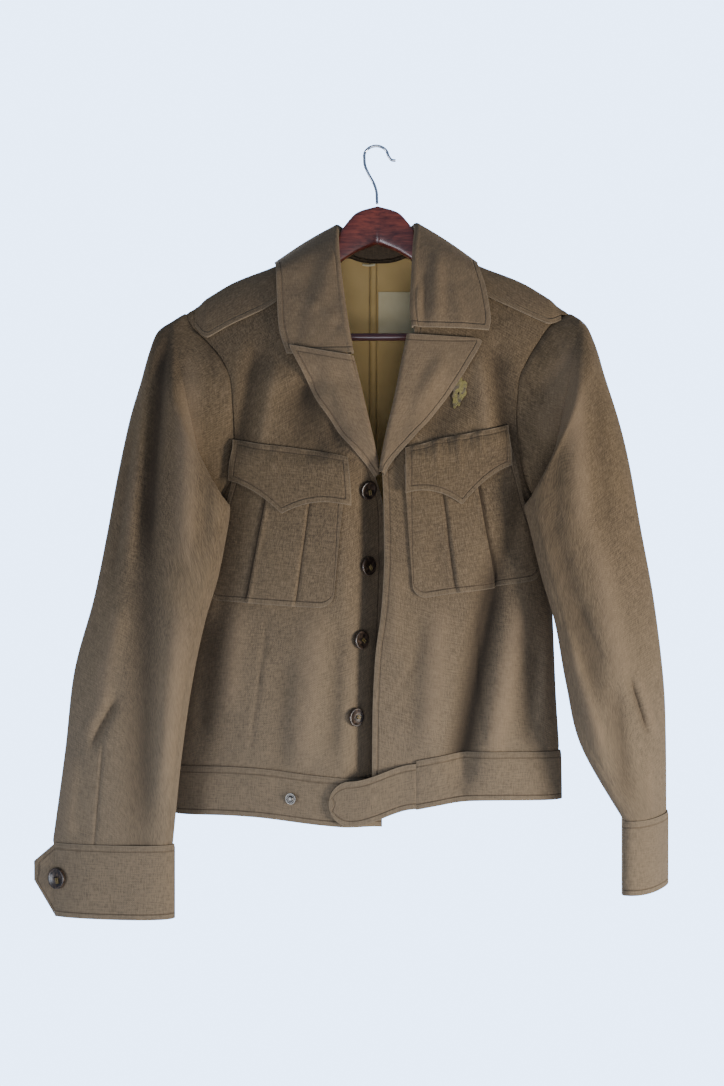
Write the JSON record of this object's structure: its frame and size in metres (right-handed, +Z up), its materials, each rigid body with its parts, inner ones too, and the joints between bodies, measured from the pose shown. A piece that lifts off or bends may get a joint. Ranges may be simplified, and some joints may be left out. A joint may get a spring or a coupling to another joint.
{
  "type": "ike jacket on a hanger",
  "caption": "Waist-length wool battle jacket with notched lapels, bellows pockets and buttoned cuffs, hung on a shaped wooden hanger with a wire hook.",
  "frame": {"origin": "the inside of the hook's bend, where the hanger rests on a rail or nail", "axes": "+Z up; -Y the way the wearer faces, towards the camera; +X the wearer's left"},
  "size_m": [0.6854, 0.1482, 0.8353],
  "materials": {
    "wool_serge": "matte olive-brown wool serge",
    "cotton_lining": "olive-gold cotton twill",
    "cotton_tape": "cream cotton tape",
    "embroidery": "worn olive embroidery",
    "button_plastic": "dark brown four-hole buttons",
    "stained_wood": "dark red-brown varnish",
    "chromed_steel": "polished"
  },
  "bodies": {
    "root": {"back": "wool_serge", "front_left": "wool_serge", "front_right": "wool_serge", "top_sleeve_right": "wool_serge", "top_sleeve_left": "wool_serge", "under_sleeve_right": "wool_serge", "under_sleeve_left": "wool_serge", "cuff_right": "wool_serge", "cuff_left": "wool_serge", "waistband_right": "wool_serge", "waistband_left": "wool_serge", "waistband_back": "wool_serge", "waist_tab": "wool_serge", "pocket_right": "wool_serge", "pocket_left": "wool_serge", "pocket_flap_right": "wool_serge", "pocket_flap_left": "wool_serge", "lapel_right": "wool_serge", "lapel_left": "wool_serge", "collar": "wool_serge", "shoulder_strap_right": "wool_serge", "shoulder_strap_left": "wool_serge", "fly_strip": "wool_serge", "lining_back": "cotton_lining", "neck_label": "cotton_tape", "hanging_loop": "cotton_tape", "chest_scrap": "embroidery", "front_button_1": "button_plastic", "front_button_2": "button_plastic", "front_button_3": "button_plastic", "front_button_4": "button_plastic", "cuff_button_right": "button_plastic", "cuff_button_left": "button_plastic", "hanger_arms": "stained_wood", "hanger_bar": "stained_wood", "hanger_hook": "chromed_steel", "press_stud": "chromed_steel"}
  },
  "joints": []
}
